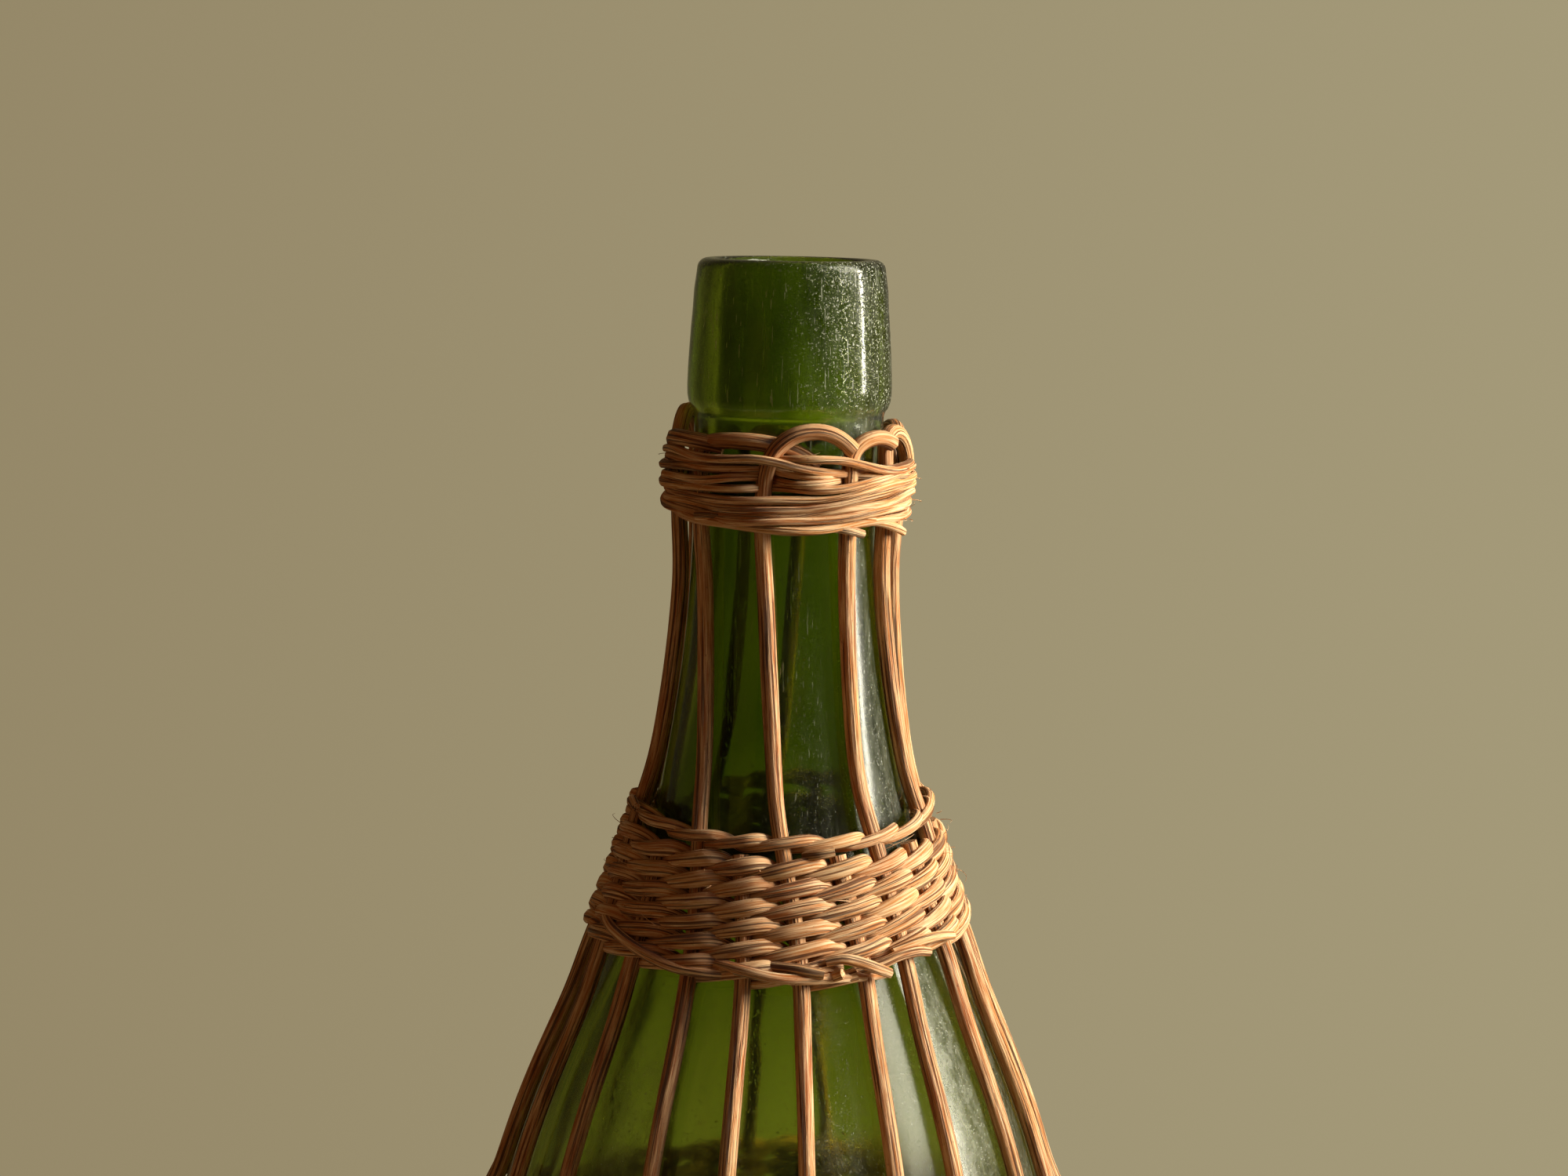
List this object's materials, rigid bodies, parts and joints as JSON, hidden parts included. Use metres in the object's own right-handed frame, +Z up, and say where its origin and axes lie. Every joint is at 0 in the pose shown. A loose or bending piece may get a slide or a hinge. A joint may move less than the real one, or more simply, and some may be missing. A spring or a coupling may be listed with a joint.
{
  "type": "wicker-covered bottle",
  "caption": "Round-bellied wine flask of green glass in a woven wicker coat, with twined bands at neck and shoulder, a full basket below and a roped foot.",
  "frame": {"origin": "on the ground under the middle of the flask, at the level of the foot's underside", "axes": "+Z up along the bottle's axis and out of the mouth, -Y towards the pictured front"},
  "size_m": [0.1097, 0.1096, 0.2495],
  "materials": {
    "glass": "olive-green bottle glass, worn at the collar",
    "cane": "dry split cane with a fibrous grain",
    "weaver": "dry cane weavers, paler at the cut ends",
    "foot": "dry cane, darker where it stands"
  },
  "bodies": {
    "root": {"glass_bottle": "glass", "long_cane_1": "cane", "long_cane_2": "cane", "long_cane_3": "cane", "long_cane_4": "cane", "long_cane_5": "cane", "short_cane_1": "cane", "short_cane_2": "cane", "short_cane_3": "cane", "short_cane_4": "cane", "short_cane_5": "cane", "neck_weaver_a": "weaver", "neck_weaver_b": "weaver", "shoulder_weaver_a": "weaver", "shoulder_weaver_b": "weaver", "basket_weaver_a": "weaver", "basket_weaver_b": "weaver", "base_weaver_a": "weaver", "base_weaver_b": "weaver", "foot_strand_a": "foot", "foot_strand_b": "foot"}
  },
  "joints": []
}
